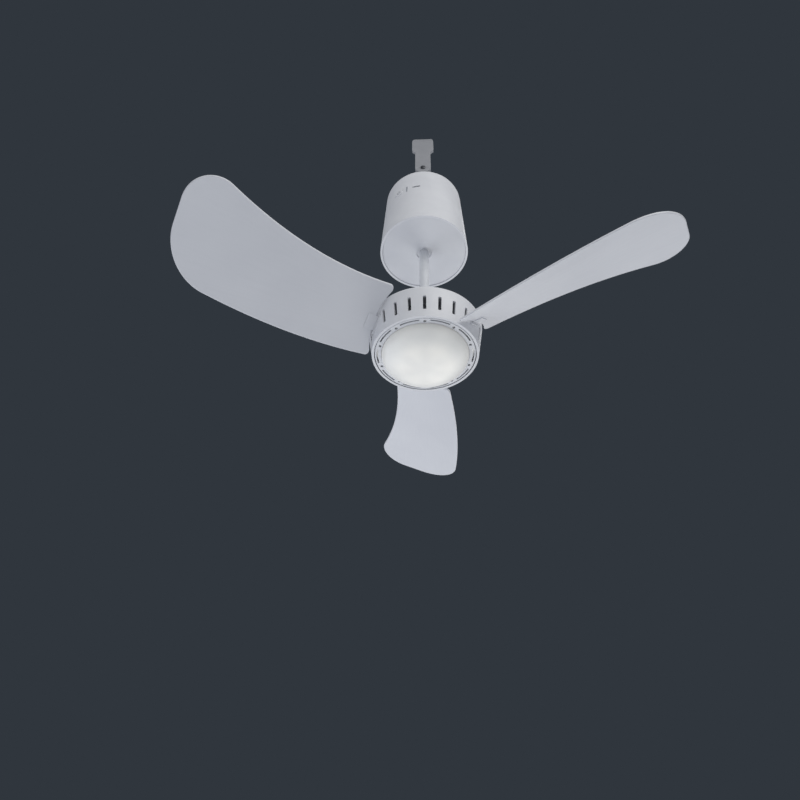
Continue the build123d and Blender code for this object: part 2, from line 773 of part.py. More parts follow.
with BuildPart() as shaft_spacer:
    spacer_top_z = lower_bearing_z - loose_clearance
    tube(shaft_radius + spacer_wall, shaft_radius + seat_clearance, pan_top_z, spacer_top_z)
write(shaft_spacer.part, "shaft_spacer")

with BuildPart() as shaft_nut:
    with BuildSketch(Plane.XY.offset(pan_bottom_z)):
        RegularPolygon(shaft_nut_across_flats / 2, 6, major_radius=False)
        Circle(shaft_radius + seat_clearance, mode=Mode.SUBTRACT)
    extrude(amount=-shaft_nut_height)
write(shaft_nut.part, "shaft_nut")

with BuildPart() as led_board:
    tube(led_board_radius, led_board_bore_radius, led_board_z, pan_bottom_z)
write(led_board.part, "led_board")

with BuildPart() as leds:
    with BuildSketch(Plane.XY.offset(led_board_z)):
        with PolarLocations(led_ring_radius, led_count):
            Rectangle(led_size, led_size)
    extrude(amount=-led_height)
write(leds.part, "leds")

with BuildPart() as light_bezel:
    tube(bezel_outer_radius, bezel_inner_radius, bezel_bottom_z, bezel_top_z)
    fillet(light_bezel.edges().filter_by(GeomType.CIRCLE).group_by(Axis.Z)[0], radius=bezel_edge_radius)
    tube(bezel_outer_radius, bezel_outer_radius - bezel_rim_width, bezel_top_z, pan_bottom_z)
    half_turn = 180 / bezel_slit_count
    with BuildSketch(Plane.XY.offset(bezel_bottom_z)):
        Circle(bezel_slit_radius + bezel_slit_width / 2)
        Circle(bezel_slit_radius - bezel_slit_width / 2, mode=Mode.SUBTRACT)
        with PolarLocations(bezel_slit_radius, bezel_slit_count, start_angle=half_turn):
            Rectangle(4 * bezel_slit_width, bezel_bridge, mode=Mode.SUBTRACT)
    extrude(amount=bezel_thickness, mode=Mode.SUBTRACT)
    with BuildSketch(Plane.XY.offset(bezel_bottom_z)):
        with PolarLocations(bezel_hole_ring_radius, bezel_slit_count, start_angle=half_turn):
            Circle(bezel_hole_radius)
    extrude(amount=bezel_thickness, mode=Mode.SUBTRACT)
write(light_bezel.part, "light_bezel")

with BuildPart() as lens:
    inner_lens_radius = lens_radius - lens_thickness
    inner_lens_drop = lens_drop - lens_thickness
    flange_top_z = pan_bottom_z - loose_clearance
    with BuildSketch(Plane.XZ):
        with BuildLine():
            EllipticalCenterArc((0, bezel_bottom_z), lens_radius, lens_drop, 270, arc_size=90)
            Polyline(
                (lens_radius, bezel_bottom_z),
                (lens_radius, bezel_top_z),
                (lens_radius + lens_flange, bezel_top_z),
                (lens_radius + lens_flange, flange_top_z),
                (inner_lens_radius, flange_top_z),
                (inner_lens_radius, bezel_bottom_z),
            )
            EllipticalCenterArc((0, bezel_bottom_z), inner_lens_radius, inner_lens_drop, 270, arc_size=90)
            Line((0, bezel_bottom_z - inner_lens_drop), (0, bezel_bottom_z - lens_drop))
        make_face()
    revolve(axis=Axis.Z)
write(lens.part, "lens")
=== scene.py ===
"""Dresses a battery fan that hangs from a folding loop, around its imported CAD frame.

The solids carry the shapes. This script gives each of them a finish, adds the small worked
pieces that are too fine for the solids, and sets up the studio and the camera.
"""

import logging
from collections.abc import Sequence
from dataclasses import dataclass
from enum import Enum
from typing import Any

import bmesh
import bpy
import numpy as np
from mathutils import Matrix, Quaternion, Vector


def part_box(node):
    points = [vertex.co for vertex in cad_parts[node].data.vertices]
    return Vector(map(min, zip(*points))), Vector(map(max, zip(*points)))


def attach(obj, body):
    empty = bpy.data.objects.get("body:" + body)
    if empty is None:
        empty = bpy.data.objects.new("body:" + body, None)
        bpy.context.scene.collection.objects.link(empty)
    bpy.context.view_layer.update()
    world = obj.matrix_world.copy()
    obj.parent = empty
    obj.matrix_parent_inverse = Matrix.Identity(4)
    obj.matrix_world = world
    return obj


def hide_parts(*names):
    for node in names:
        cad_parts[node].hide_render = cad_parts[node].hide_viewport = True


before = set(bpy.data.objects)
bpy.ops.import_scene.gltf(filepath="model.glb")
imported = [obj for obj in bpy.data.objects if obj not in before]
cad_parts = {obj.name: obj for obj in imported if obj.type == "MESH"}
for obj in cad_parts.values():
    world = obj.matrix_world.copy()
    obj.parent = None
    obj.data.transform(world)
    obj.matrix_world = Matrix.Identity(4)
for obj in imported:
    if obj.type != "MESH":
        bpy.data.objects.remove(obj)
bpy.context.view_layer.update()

log = logging.getLogger("canopy_fan")

MM = 0.001

# Most of a noise's values lie between these two.
NOISE_LOW, NOISE_HIGH = 0.3, 0.7
# Octaves of a fine grain, and of the waver in a line.
GRAIN_DETAIL, WAVER_DETAIL = 3.0, 1.0
# Leaves a point's distance from the fan's axis when the vector's length is taken.
LEVEL = (1.0, 1.0, 0.0)
# A wave pattern's line comes round every 0.1 pi units at a scale of 1.
WAVE_LINE = 0.1 * np.pi

# Vertices of new pieces that are nearer than this are one, in metres.
MERGE_DISTANCE = 1e-6
DEGENERATE_LENGTH = 1e-7
SHARP_ANGLE = np.radians(32)
# A direction whose Z part is above this takes its sense of up from Y.
UPRIGHT = 0.9


def linear(colour: str) -> tuple[float, float, float, float]:
    """Turns an sRGB hex colour into linear light.

    Args:
        colour: hex text such as "#C8CCD2".

    Returns:
        Red, green, blue and an alpha of 1.
    """
    srgb = np.array([int(colour[i : i + 2], 16) for i in (1, 3, 5)]) / 255
    light = np.where(srgb <= 0.04045, srgb / 12.92, ((srgb + 0.055) / 1.055) ** 2.4)
    return (*(float(c) for c in light), 1.0)


def add_node(
    tree: bpy.types.NodeTree,
    kind: str,
    inputs: dict[int | str, Any] | None = None,
    output: int | str = 0,
    **settings: Any,
) -> bpy.types.NodeSocket | None:
    """Adds a node with its settings, and sets or links its inputs.

    Args:
        tree: node tree that gets the node.
        kind: the node type's identifier.
        inputs: socket name or number to a plain value, or to the socket that feeds it.
        output: name or number of the output that is wanted.
        settings: the node's own properties.

    Returns:
        The wanted output, or nothing for a node that has none.
    """
    node = tree.nodes.new(kind)
    for name, value in settings.items():
        setattr(node, name, value)
    for name, value in (inputs or {}).items():
        if isinstance(value, bpy.types.NodeSocket):
            tree.links.new(value, node.inputs[name])
        else:
            node.inputs[name].default_value = value
    return node.outputs[output] if node.outputs else None


@dataclass(frozen=True)
class Finish:
    """Moulded or coated surface: a mottled body colour, a fine grain and uneven gloss.

    A patch of gloss is gloss_patch grains wide. As the gloss pattern goes through gloss_range,
    the roughness goes through gloss_spread about its mean.
    """

    name: str
    colour: str
    shade: str
    roughness: float
    metallic: float = 0.0
    ior: float = 1.5
    mottle_mm: float = 40.0
    grain_mm: float = 1.0
    grain_bump: float = 0.05
    gloss_patch: float = 6.0
    gloss_spread: tuple[float, float] = (-0.05, 0.07)
    gloss_range: tuple[float, float] = (NOISE_LOW, NOISE_HIGH)

    @property
    def grain_depth(self) -> float:
        """Depth of the grain in millimetres, a quarter of its width."""
        return self.grain_mm / 4

    def begin(self) -> tuple[bpy.types.Material, bpy.types.Node, bpy.types.NodeSocket]:
        """Makes the material with its shader and its Object coordinates.

        Returns:
            The material, its Principled shader and the coordinate socket.
        """
        material = bpy.data.materials.new(self.name)
        material.use_nodes = True
        material.diffuse_color = linear(self.colour)
        tree = material.node_tree
        tree.nodes.clear()
        uniform = {"Metallic": self.metallic, "IOR": self.ior}
        surface = add_node(tree, "ShaderNodeBsdfPrincipled", uniform)
        add_node(tree, "ShaderNodeOutputMaterial", {"Surface": surface})
        place = add_node(tree, "ShaderNodeTexCoord", output="Object")
        return material, surface.node, place

    def patterns(
        self, tree: bpy.types.NodeTree, place: bpy.types.NodeSocket
    ) -> tuple[bpy.types.NodeSocket, bpy.types.NodeSocket]:
        """The two patterns of a moulded body: broad lumps of its two tones and a fine grain.

        Both are noise, and the lumps are stretched to run from 0 to 1.

        Args:
            tree: the material's nodes.
            place: coordinates in metres.

        Returns:
            Share of the second tone, and height of the grain, about 0 to 1.
        """
        lumps = {"Vector": place, "Scale": 1 / (self.mottle_mm * MM)}
        broad = add_node(tree, "ShaderNodeTexNoise", lumps)
        mottle = add_node(tree, "ShaderNodeMapRange", {0: broad, 1: NOISE_LOW, 2: NOISE_HIGH})
        specks = {"Vector": place, "Scale": 1 / (self.grain_mm * MM), "Detail": GRAIN_DETAIL}
        return mottle, add_node(tree, "ShaderNodeTexNoise", specks)

    def close(
        self,
        shader: bpy.types.Node,
        tone: bpy.types.NodeSocket,
        gloss: bpy.types.NodeSocket,
        relief: bpy.types.NodeSocket,
        depth_mm: float,
        patch: tuple[bpy.types.NodeSocket, str] | None = None,
    ) -> None:
        """Joins the patterns to the shader's colour, roughness and normal.

        Args:
            shader: the material's shader.
            tone: share of the second tone in the body colour.
            gloss: pattern that the roughness follows, from one end of its spread to the other.
            relief: height of the surface, about 0 to 1.
            depth_mm: depth of the relief.
            patch: where another colour lies over the body, and that colour.
        """
        tree = shader.id_data
        tones = {0: tone, 6: linear(self.colour), 7: linear(self.shade)}
        colour = add_node(tree, "ShaderNodeMix", tones, output=2, data_type="RGBA")
        if patch:
            layers = {0: patch[0], 6: colour, 7: linear(patch[1])}
            colour = add_node(tree, "ShaderNodeMix", layers, output=2, data_type="RGBA")
        ends = (self.roughness + step for step in self.gloss_spread)
        swing = dict(enumerate((gloss, *self.gloss_range, *ends)))
        rough = add_node(tree, "ShaderNodeMapRange", swing)
        bumps = {"Strength": self.grain_bump, "Distance": depth_mm * MM, "Height": relief}
        normal = add_node(tree, "ShaderNodeBump", bumps)
        joined = {"Base Color": colour, "Roughness": rough, "Normal": normal}
        for name, socket in joined.items():
            tree.links.new(socket, shader.inputs[name])

    def make(self) -> bpy.types.Material:
        """Mottled body colour, with the grain as relief and gloss in patches a few grains wide.

        Returns:
            The material.
        """
        material, shader, place = self.begin()
        tree = material.node_tree
        mottle, grain = self.patterns(tree, place)
        patches = {"Vector": place, "Scale": 1 / (self.gloss_patch * self.grain_mm * MM)}
        gloss = add_node(tree, "ShaderNodeTexNoise", patches)
        self.close(shader, mottle, gloss, grain, self.grain_depth)
        return material


@dataclass(frozen=True)
class FlowLines(Finish):
    """Moulded sheet whose melt ran outwards from the root and left faint streaks on the blade."""

    gloss_spread: tuple[float, float] = (-0.06, 0.08)
    streak_mm: float = 3.0
    streak_stretch: float = 40.0
    streak_share: float = 0.5
    streak_height: float = 0.6
    mid_radius_mm: float = 210.0

    def make(self) -> bpy.types.Material:
        """Mottling as on the other mouldings, with streaks that run along the radius.

        The streaks are noise on the angle round the axis, as an arc at half the blade's
        length, against the radius, which is shortened so that each lump is drawn out along it.

        Returns:
            The material.
        """
        material, shader, place = self.begin()
        tree = material.node_tree
        x, y, z = add_node(tree, "ShaderNodeSeparateXYZ", {0: place}).node.outputs
        level = add_node(tree, "ShaderNodeVectorMath", {0: place, 1: LEVEL}, operation="MULTIPLY")
        reach = add_node(tree, "ShaderNodeVectorMath", {0: level}, "Value", operation="LENGTH")
        angle = add_node(tree, "ShaderNodeMath", {0: y, 1: x}, operation="ARCTAN2")
        arc = {0: angle, 1: self.mid_radius_mm * MM}
        around = add_node(tree, "ShaderNodeMath", arc, operation="MULTIPLY")
        drawn_out = {0: reach, 1: self.streak_stretch}
        along = add_node(tree, "ShaderNodeMath", drawn_out, operation="DIVIDE")
        polar = add_node(tree, "ShaderNodeCombineXYZ", {0: around, 1: along, 2: z})
        lumps = {"Vector": polar, "Scale": 1 / (self.streak_mm * MM), "Detail": GRAIN_DETAIL}
        streak = add_node(tree, "ShaderNodeTexNoise", lumps)
        mottle, grain = self.patterns(tree, place)
        tone = add_node(tree, "ShaderNodeMix", {0: self.streak_share, 2: mottle, 3: streak})
        heights = {0: streak, 1: self.streak_height, 2: grain}
        relief = add_node(tree, "ShaderNodeMath", heights, operation="MULTIPLY_ADD")
        self.close(shader, tone, streak, relief, self.grain_depth)
        return material


class Lines(Enum):
    """Which way the lines of a ruled finish lie, as settings of the wave pattern."""

    STACKED = {"wave_type": "BANDS", "bands_direction": "Z"}
    TURNED = {"wave_type": "RINGS", "rings_direction": "Z"}


@dataclass(frozen=True)
class Ruled(Finish):
    """Metal with fine lines, from turning, from stacked sheets or from wound wire."""

    gloss_spread: tuple[float, float] = (-0.08, 0.1)
    gloss_range: tuple[float, float] = (0.25, 0.75)
    lines: Lines = Lines.TURNED
    pitch_mm: float = 0.6
    line_share: float = 0.5
    waver: float = 1.2

    @property
    def line_depth(self) -> float:
        """Depth of the lines in millimetres, a third of their pitch."""
        return self.pitch_mm / 3

    def make(self) -> bpy.types.Material:
        """Lines a pitch apart along the axis or outwards from it, mixed with broad noise.

        Returns:
            The material.
        """
        material, shader, place = self.begin()
        tree = material.node_tree
        waves = {
            "Vector": place,
            "Scale": WAVE_LINE / (self.pitch_mm * MM),
            "Distortion": self.waver,
            "Detail": WAVER_DETAIL,
        }
        line = add_node(tree, "ShaderNodeTexWave", waves, "Fac", **self.lines.value)
        lumps = {"Vector": place, "Scale": 1 / (self.mottle_mm * MM)}
        broad = add_node(tree, "ShaderNodeTexNoise", lumps)
        both = add_node(tree, "ShaderNodeMix", {0: self.line_share, 2: broad, 3: line})
        self.close(shader, both, both, line, self.line_depth)
        return material


@dataclass(frozen=True)
class LitDome(Finish):
    """Frosted polycarbonate over a ring of lamps, which show as petals round a dimmer middle."""

    gloss_patch: float = 5.0
    gloss_spread: tuple[float, float] = (-0.05, 0.05)
    glow: str = "#FFF6E2"
    strength: float = 0.20
    glow_start_mm: float = 28.0
    glow_end_mm: float = 46.0
    rim_glow: float = 0.5
    lamp_count: int = 6
    lamp_start_mm: float = 6.5
    lamp_ring_mm: float = 26.0
    middle_glow: float = 0.84
    petal_swing: float = 0.10
    cloud: float = 0.06

    def make(self) -> bpy.types.Material:
        """Frost with a glow that falls off at the rim and swells over each lamp.

        The glow is a smooth step on the radius, times a level that is middle_glow on the axis
        and rises to 1 over the ring of lamps, give or take petal_swing times the cosine of the
        angle round the axis times the lamps' number. The frost clouds it a little.

        Returns:
            The material.
        """
        material, shader, place = self.begin()
        tree = material.node_tree
        x, y, _ = add_node(tree, "ShaderNodeSeparateXYZ", {0: place}).node.outputs
        level = add_node(tree, "ShaderNodeVectorMath", {0: place, 1: LEVEL}, operation="MULTIPLY")
        reach = add_node(tree, "ShaderNodeVectorMath", {0: level}, "Value", operation="LENGTH")
        edge = (self.glow_start_mm * MM, self.glow_end_mm * MM, 1.0, self.rim_glow)
        fall = dict(enumerate((reach, *edge)))
        disc = add_node(tree, "ShaderNodeMapRange", fall, interpolation_type="SMOOTHSTEP")
        outwards = {0: reach, 1: self.lamp_start_mm * MM, 2: self.lamp_ring_mm * MM}
        ring = add_node(tree, "ShaderNodeMapRange", outwards)
        angle = add_node(tree, "ShaderNodeMath", {0: y, 1: x}, operation="ARCTAN2")
        rounds = {0: angle, 1: self.lamp_count}
        turns = add_node(tree, "ShaderNodeMath", rounds, operation="MULTIPLY")
        petal = add_node(tree, "ShaderNodeMath", {0: turns}, operation="COSINE")
        swell = {0: petal, 1: self.petal_swing, 2: 1 - self.middle_glow}
        rise = add_node(tree, "ShaderNodeMath", swell, operation="MULTIPLY_ADD")
        over_middle = {0: rise, 1: ring, 2: self.middle_glow}
        lamps = add_node(tree, "ShaderNodeMath", over_middle, operation="MULTIPLY_ADD")
        mottle, frost = self.patterns(tree, place)
        clouds = {0: mottle, 1: self.cloud, 2: 1 - self.cloud}
        light = add_node(tree, "ShaderNodeMath", clouds, operation="MULTIPLY_ADD")
        for share in (lamps, disc, self.strength):
            light = add_node(tree, "ShaderNodeMath", {0: light, 1: share}, operation="MULTIPLY")
        tree.links.new(light, shader.inputs["Emission Strength"])
        shader.inputs["Emission Color"].default_value = linear(self.glow)
        patches = {"Vector": place, "Scale": 1 / (self.gloss_patch * self.grain_mm * MM)}
        gloss = add_node(tree, "ShaderNodeTexNoise", patches)
        self.close(shader, mottle, gloss, frost, self.grain_depth)
        return material


@dataclass(frozen=True)
class Wrapped(Finish):
    """Film shrunk over a piece, with bare metal at its lower and upper ends."""

    gloss_spread: tuple[float, float] = (-0.05, 0.06)
    bare: str = "#C7C9CC"
    bare_below_mm: float = 0.0
    bare_above_mm: float = 0.0

    def make(self) -> bpy.types.Material:
        """Mottled film between the two heights and bare metal outside them.

        Returns:
            The material.
        """
        material, shader, place = self.begin()
        tree = material.node_tree
        z = add_node(tree, "ShaderNodeSeparateXYZ", {0: place}, "Z")
        foot, head = {0: z, 1: self.bare_below_mm * MM}, {0: z, 1: self.bare_above_mm * MM}
        below = add_node(tree, "ShaderNodeMath", foot, operation="LESS_THAN")
        above = add_node(tree, "ShaderNodeMath", head, operation="GREATER_THAN")
        ends = add_node(tree, "ShaderNodeMath", {0: below, 1: above}, operation="ADD")
        mottle, grain = self.patterns(tree, place)
        self.close(shader, mottle, grain, grain, self.grain_depth, (ends, self.bare))
        return material


@dataclass(frozen=True)
class Stepped(Finish):
    """Moulding with a narrow line of another colour at every step up it."""

    gloss_spread: tuple[float, float] = (-0.05, 0.06)
    line: str = "#6A6E76"
    step_mm: float = 3.5
    line_edge: tuple[float, float] = (0.38, 0.44)

    def make(self) -> bpy.types.Material:
        """Mottled body, and the line where the height is furthest from the middle of a step.

        Returns:
            The material.
        """
        material, shader, place = self.begin()
        tree = material.node_tree
        z = add_node(tree, "ShaderNodeSeparateXYZ", {0: place}, "Z")
        steps = add_node(tree, "ShaderNodeMath", {0: z, 1: self.step_mm * MM}, operation="DIVIDE")
        part = add_node(tree, "ShaderNodeMath", {0: steps}, operation="FRACT")
        offset = add_node(tree, "ShaderNodeMath", {0: part, 1: 0.5}, operation="SUBTRACT")
        distance = add_node(tree, "ShaderNodeMath", {0: offset}, operation="ABSOLUTE")
        edge = dict(enumerate((distance, *self.line_edge)))
        line = add_node(tree, "ShaderNodeMapRange", edge)
        mottle, grain = self.patterns(tree, place)
        self.close(shader, mottle, grain, grain, self.grain_depth, (line, self.line))
        return material


@dataclass(frozen=True)
class Laminate(Finish):
    """Circuit board: lacquer over copper tracks, with dark moulded components standing on it."""

    gloss_spread: tuple[float, float] = (-0.05, 0.1)
    track_mm: float = 5.0
    track_edge: tuple[float, float] = (0.05, 0.09)
    track_depth_mm: float = 0.15
    track_wander: float = 0.85
    component: str = "#232427"
    top_mm: float = 0.0

    def make(self) -> bpy.types.Material:
        """Cells whose edges show as tracks, and another colour above the board's face.

        Returns:
            The material.
        """
        material, shader, place = self.begin()
        tree = material.node_tree
        cells = {
            "Vector": place,
            "Scale": 1 / (self.track_mm * MM),
            "Randomness": self.track_wander,
        }
        plan = {"feature": "DISTANCE_TO_EDGE", "voronoi_dimensions": "2D"}
        web = add_node(tree, "ShaderNodeTexVoronoi", cells, "Distance", **plan)
        edge = dict(enumerate((web, *self.track_edge, 1.0, 0.0)))
        track = add_node(tree, "ShaderNodeMapRange", edge)
        z = add_node(tree, "ShaderNodeSeparateXYZ", {0: place}, "Z")
        face = {0: z, 1: self.top_mm * MM}
        tall = add_node(tree, "ShaderNodeMath", face, operation="GREATER_THAN")
        specks = {"Vector": place, "Scale": 1 / (self.grain_mm * MM), "Detail": GRAIN_DETAIL}
        grain = add_node(tree, "ShaderNodeTexNoise", specks)
        self.close(shader, track, grain, track, self.track_depth_mm, (tall, self.component))
        return material


# Moulded ABS off a spark-eroded tool: a soft broad sheen and a grain that only shows close up.
# The grain of about 0.3 mm is drawn at about 1 mm, because at its real size it can't show.
SATIN_ABS = Finish(
    "satin_abs", "#D0D2D7", "#C8CAD0", 0.42, ior=1.53, grain_mm=1.1, grain_bump=0.10
)
# The same moulding on the underside of the housing, with a shade less sheen, and darker as painted
# shade.
BASE_ABS_PAINTED_SHADE = Finish(
    "base_abs_painted_shade", "#CBCDD2", "#C3C5CB", 0.48, ior=1.53, grain_mm=1.1, grain_bump=0.10
)
# Injected polypropylene: smoother, a little waxy, with flow lines from the root to the tip.
BLADE_PLASTIC = FlowLines(
    "blade_plastic", "#CED0D6", "#C6C8CF", 0.40, ior=1.49, mottle_mm=70.0, grain_bump=0.08
)
# White powder coat on steel: a fine orange peel with lumps of about 1.5 mm.
POWDER_COAT = Finish(
    "white_powder_coat", "#CBCED3", "#C3C6CC", 0.36, grain_mm=1.5, grain_bump=0.16
)
# Grey powder coat on the strap.
STRAP_COAT = Finish(
    "grey_powder_coat", "#929499", "#888A90", 0.44, grain_mm=1.5, grain_bump=0.2
)
# Zinc-plated steel: bright, with turning marks.
ZINC_PLATE = Ruled(
    "zinc_plate", "#B9BCC1", "#A2A5AB", 0.34, metallic=1.0, mottle_mm=8.0,
    grain_bump=0.12, pitch_mm=0.7,
)
# Zinc plate in a dark tone, on the loop's rivets.
DARK_ZINC = Ruled(
    "dark_zinc", "#5E6065", "#505257", 0.46, metallic=0.7, mottle_mm=6.0,
    grain_bump=0.12, pitch_mm=0.7,
)
# Ground bearing steel: brighter and finer.
BEARING_STEEL = Ruled(
    "bearing_steel", "#C3C5C8", "#A9ABAF", 0.22, metallic=1.0, mottle_mm=6.0, grain_bump=0.08
)
# Stacked silicon-steel sheets, half a millimetre each, blued on their edges.
LAMINATIONS = Ruled(
    "stator_laminations", "#5C6068", "#44474E", 0.45, metallic=0.9, mottle_mm=9.0,
    grain_bump=0.3, lines=Lines.STACKED, pitch_mm=0.5, line_share=0.7,
)
# Enamelled copper wire, wound in rows.
COPPER = Ruled(
    "enamelled_copper", "#B8703C", "#8C4A22", 0.3, metallic=0.9, mottle_mm=5.0,
    grain_bump=0.4, pitch_mm=0.7, line_share=0.8,
)
# Sintered magnets: dark grey and slightly sparkling.
MAGNET = Finish(
    "sintered_magnet", "#4A4B4F", "#3A3B3F", 0.5, metallic=0.6, mottle_mm=4.0,
    grain_mm=0.6, grain_bump=0.2,
)
# Frosted polycarbonate with the lamps behind it.
LIT_LENS = LitDome(
    "frosted_lens", "#D6D8D9", "#D0D2D4", 0.38, ior=1.58, mottle_mm=18.0, grain_mm=0.8
)
# Spun aluminium reflector.
REFLECTOR = Ruled(
    "spun_aluminium", "#D9DADB", "#C6C8CA", 0.38, metallic=1.0, mottle_mm=15.0,
    grain_bump=0.1, pitch_mm=0.9,
)
# White lacquer on the lamps' board.
LAMP_LACQUER = Finish(
    "lamp_board_lacquer", "#E4E4E0", "#D8D8D4", 0.35, mottle_mm=12.0, grain_mm=0.8
)
# Phosphor under silicone.
PHOSPHOR = Finish(
    "led_phosphor", "#E6C65A", "#D8B446", 0.25, ior=1.41, mottle_mm=1.5,
    grain_mm=0.4, grain_bump=0.2,
)
# Black glass-filled nylon: dull and a little cloudy.
BLACK_NYLON = Finish(
    "black_nylon", "#2B2C2F", "#222326", 0.5, ior=1.53, mottle_mm=10.0,
    grain_mm=0.9, grain_bump=0.2,
)
# Shrink film on the cells, with bare nickel ends.
CELL_FOOT, CELL_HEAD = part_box("battery_cells")
BARE_END = 0.8
CELL_FILM = Wrapped(
    "cell_shrink_film", "#3C6E96", "#346287", 0.28, ior=1.54, mottle_mm=12.0, grain_mm=0.8,
    bare_below_mm=CELL_FOOT.z / MM + BARE_END, bare_above_mm=CELL_HEAD.z / MM - BARE_END,
)
# Smoked light pipe with a dark line between its steps.
LIGHT_PIPE = Stepped(
    "smoked_light_pipe", "#9EA3AC", "#92979F", 0.3, ior=1.58, mottle_mm=6.0, grain_mm=0.6
)
# Green solder mask over copper, on glass cloth. The components stand 5 mm high on it, so what
# is less than this far below their tops is theirs.
COMPONENT_DEPTH = 4.9
SOLDER_MASK = Laminate(
    "solder_mask", "#1F6B45", "#3F9A63", 0.32, grain_mm=0.8,
    top_mm=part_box("control_board")[1].z / MM - COMPONENT_DEPTH,
)
# Gold-flashed contacts.
GOLD_FLASH = Finish(
    "gold_flash", "#D9B25C", "#C79C45", 0.28, metallic=1.0, mottle_mm=2.0, grain_mm=0.5
)
# Grey ink of the mark on the button.
MARK_INK = Finish(
    "grey_ink", "#7C8088", "#70747C", 0.55, mottle_mm=2.0, grain_mm=0.4, grain_bump=0.1
)

NODE_FINISHES: dict[Finish, tuple[str, ...]] = {
    SATIN_ABS: ("battery_housing", "motor_drum", "blade_sockets", "power_button", "light_bezel"),
    BASE_ABS_PAINTED_SHADE: ("housing_base",),
    BLADE_PLASTIC: ("blade_1", "blade_2", "blade_3"),
    POWDER_COAT: ("downrod", "rod_coupler", "hanger_bracket"),
    STRAP_COAT: ("hanging_bail",),
    ZINC_PLATE: (
        "bracket_screws", "coupler_screws", "motor_shaft", "shaft_nut",
        "shaft_spacer", "rod_nut", "rod_washer", "rotor_cover", "flux_ring",
    ),
    DARK_ZINC: ("pivot_pins",),
    BEARING_STEEL: ("upper_bearing", "lower_bearing"),
    LAMINATIONS: ("stator_core",),
    COPPER: ("stator_windings",),
    MAGNET: ("rotor_magnets",),
    LIT_LENS: ("lens",),
    REFLECTOR: ("light_pan",),
    LAMP_LACQUER: ("led_board",),
    PHOSPHOR: ("leds",),
    BLACK_NYLON: ("charging_socket", "button_switch", "cell_tray", "cell_cap"),
    CELL_FILM: ("battery_cells",),
    LIGHT_PIPE: ("charge_indicator",),
    SOLDER_MASK: ("control_board",),
}


class Wardrobe:
    """Makes each finish once and puts it on solids and pieces."""

    def __init__(self) -> None:
        """Starts with no material made."""
        self.made: dict[str, bpy.types.Material] = {}

    def dress(self, piece: bpy.types.Object, finish: Finish) -> None:
        """Leaves the piece with that finish alone.

        Args:
            piece: mesh object.
            finish: its finish, whose material is made on first use.
        """
        if finish.name not in self.made:
            self.made[finish.name] = finish.make()
        piece.data.materials.clear()
        piece.data.materials.append(self.made[finish.name])

    def dress_solids(self) -> None:
        """Gives every solid of the frame its finish."""
        for finish, nodes in NODE_FINISHES.items():
            for node in nodes:
                self.dress(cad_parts[node], finish)
                log.info("solid %s: %s", node, finish.name)

    def fit(
        self, piece: bpy.types.Object, finish: Finish, body: str, slot: str, node: str = ""
    ) -> None:
        """Dresses a new piece, hangs it on the body that carries it and hides the solid that it
        replaces.

        Args:
            piece: mesh object.
            finish: its finish.
            body: body that carries it.
            slot: the record's material slot that it takes; not used.
            node: solid that it replaces, if any.
        """
        self.dress(piece, finish)
        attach(piece, body)
        if node:
            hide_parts(node)
        log.info("piece %s: %s, on %s", piece.name, finish.name, body)


@dataclass(frozen=True)
class Seat:
    """Local axes of a small piece: where it sits, and which way is across, up and out."""

    origin: np.ndarray
    across: np.ndarray
    up: np.ndarray
    out: np.ndarray

    @classmethod
    def facing(cls, origin: Sequence[float], out: Sequence[float]) -> "Seat":
        """A seat from its point and its outward direction, with up as near to Z as it can be.

        Args:
            origin: point in metres.
            out: outward direction.

        Returns:
            The seat.
        """
        normal = np.array(out, float) / np.linalg.norm(out)
        up = (0, 1, 0) if abs(normal[2]) > UPRIGHT else (0, 0, 1)
        across = np.cross(up, normal)
        across /= np.linalg.norm(across)
        return cls(np.array(origin, float), across, np.cross(normal, across), normal)

    def place(self, u: np.ndarray, v: np.ndarray, w: np.ndarray | float) -> np.ndarray:
        """Points of the fan's frame from local coordinates in millimetres.

        Args:
            u: distance across.
            v: distance up.
            w: distance out.

        Returns:
            Points in metres, one row each.
        """
        local = np.stack([axis.ravel() for axis in np.broadcast_arrays(u, v, w)], axis=1)
        return self.origin + local * MM @ np.stack([self.across, self.up, self.out])


def grid_faces(rows: int, columns: int) -> np.ndarray:
    """Quads of a grid that closes on itself along its columns.

    Args:
        rows: number of rings.
        columns: points on a ring.

    Returns:
        Corner numbers, four to a face.
    """
    row, column = np.meshgrid(np.arange(rows - 1), np.arange(columns), indexing="ij")
    here, after = row * columns, (column + 1) % columns
    corners = [here + column, here + after, here + columns + after, here + columns + column]
    return np.stack(corners, axis=-1).reshape(-1, 4)


def ring_angles(columns: int) -> np.ndarray:
    """Angles of the points on a closed ring."""
    return np.linspace(0, 2 * np.pi, columns, endpoint=False)


def make_piece(name: str, shells: list[tuple[np.ndarray, np.ndarray]]) -> bpy.types.Object:
    """One mesh object from closed shells, with its doubles merged and its faces turned outwards.

    Args:
        name: the piece's name.
        shells: points and quads of each shell.

    Returns:
        The object, at the origin.
    """
    starts = np.cumsum([0] + [len(points) for points, _ in shells])
    points = np.concatenate([shell[0] for shell in shells])
    faces = np.concatenate([shell[1] + start for shell, start in zip(shells, starts)])
    mesh = bpy.data.meshes.new(name)
    mesh.from_pydata(points.tolist(), [], faces.tolist())
    work = bmesh.new()
    work.from_mesh(mesh)
    bmesh.ops.remove_doubles(work, verts=work.verts, dist=MERGE_DISTANCE)
    bmesh.ops.dissolve_degenerate(work, dist=DEGENERATE_LENGTH, edges=work.edges)
    bmesh.ops.recalc_face_normals(work, faces=work.faces)
    work.to_mesh(mesh)
    work.free()
    mesh.shade_smooth()
    mesh.set_sharp_from_angle(angle=SHARP_ANGLE)
    piece = bpy.data.objects.new(name, mesh)
    bpy.context.scene.collection.objects.link(piece)
    return piece


